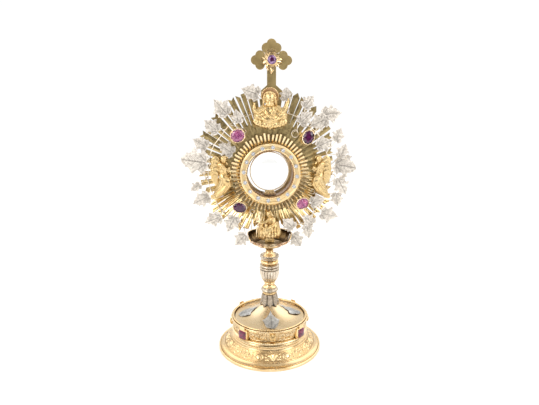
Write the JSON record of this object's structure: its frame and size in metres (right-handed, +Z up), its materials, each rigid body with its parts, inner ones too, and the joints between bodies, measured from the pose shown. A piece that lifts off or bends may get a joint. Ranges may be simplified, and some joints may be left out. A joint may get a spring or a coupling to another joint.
{
  "type": "monstrance",
  "caption": "Gilt sun monstrance on a turned foot, with a glazed chamber, sliding luna, rear door, jewelled rays, vine leaves, cast figures and a cross.",
  "frame": {"origin": "centre of the foot's underside, on the surface it stands on", "axes": "+Z up along the stem, -Y is the front that faces the people, +X is the viewer's right"},
  "size_m": [0.3297, 0.207, 0.5986],
  "materials": {
    "gilt": "polished and softly rubbed",
    "pale_gilt": "satin, worn pale on the high spots",
    "bronze_gilt": "matte, darkened flat sheet",
    "silver": "matte silver with dark chased lines",
    "steel": "plain machined steel",
    "clear_glass": "clear polished",
    "paste": "clear faceted paste in silver settings",
    "amethyst": "deep purple, faceted",
    "rose_stone": "pink, faceted",
    "garnet": "red purple, smooth cushion cut"
  },
  "bodies": {
    "stand": {"foot_plate": "gilt", "drum_band": "gilt", "drum_bead": "gilt", "sleeve_collar": "gilt", "stem_spool": "gilt", "upper_ring": "gilt", "neck_cone": "gilt", "calyx_plate": "gilt", "calyx_cup": "gilt", "pleated_ring": "gilt", "front_bezel": "gilt", "luna_rail": "gilt", "gem_setting_upper_left": "gilt", "gem_setting_upper_right": "gilt", "gem_setting_lower_left": "gilt", "gem_setting_lower_right": "gilt", "angel_left": "gilt", "angel_right": "gilt", "upper_group": "gilt", "lower_group": "gilt", "cross_rosette": "gilt", "foot_dome": "pale_gilt", "fluted_vase": "pale_gilt", "head_bracket": "bronze_gilt", "ray_glory": "bronze_gilt", "chamber_tube": "bronze_gilt", "cross": "bronze_gilt", "dome_leaf_1": "silver", "dome_leaf_2": "silver", "dome_leaf_3": "silver", "dome_leaf_4": "silver", "leaf_sleeve": "silver", "lower_ring": "silver", "vase_moulding": "silver", "stem_dish": "silver", "vine_left": "silver", "vine_right": "silver", "base_washer": "steel", "base_nut": "steel", "tie_rod": "steel", "hinge_pin": "steel", "front_glass": "clear_glass", "paste_ring": "paste", "gem_upper_right": "amethyst", "gem_lower_left": "amethyst", "cross_gem": "amethyst", "gem_upper_left": "rose_stone", "gem_lower_right": "rose_stone", "drum_stone_1": "garnet", "drum_stone_2": "garnet", "drum_stone_3": "garnet", "drum_stone_4": "garnet"},
    "rear_door": {"rear_door": "gilt", "rear_glass": "clear_glass"},
    "door_catch": {"door_catch": "gilt"},
    "luna": {"luna_frame": "gilt", "luna_glass_front": "clear_glass", "luna_glass_back": "clear_glass"}
  },
  "joints": [
    {"name": "rear_door_hinge", "type": "hinge", "parent": "stand", "child": "rear_door", "pos_m": [0.054, 0.023, 0.354], "axis": [0, 0, -1], "range_deg": [0, 110]},
    {"name": "door_catch_turn", "type": "hinge", "parent": "stand", "child": "door_catch", "pos_m": [-0.055, 0.0275, 0.354], "axis": [0, 1, 0], "range_deg": [0, 90]},
    {"name": "luna_slide", "type": "slide", "parent": "stand", "child": "luna", "axis": [0, 1, 0], "range_m": [0, 0.012]}
  ]
}
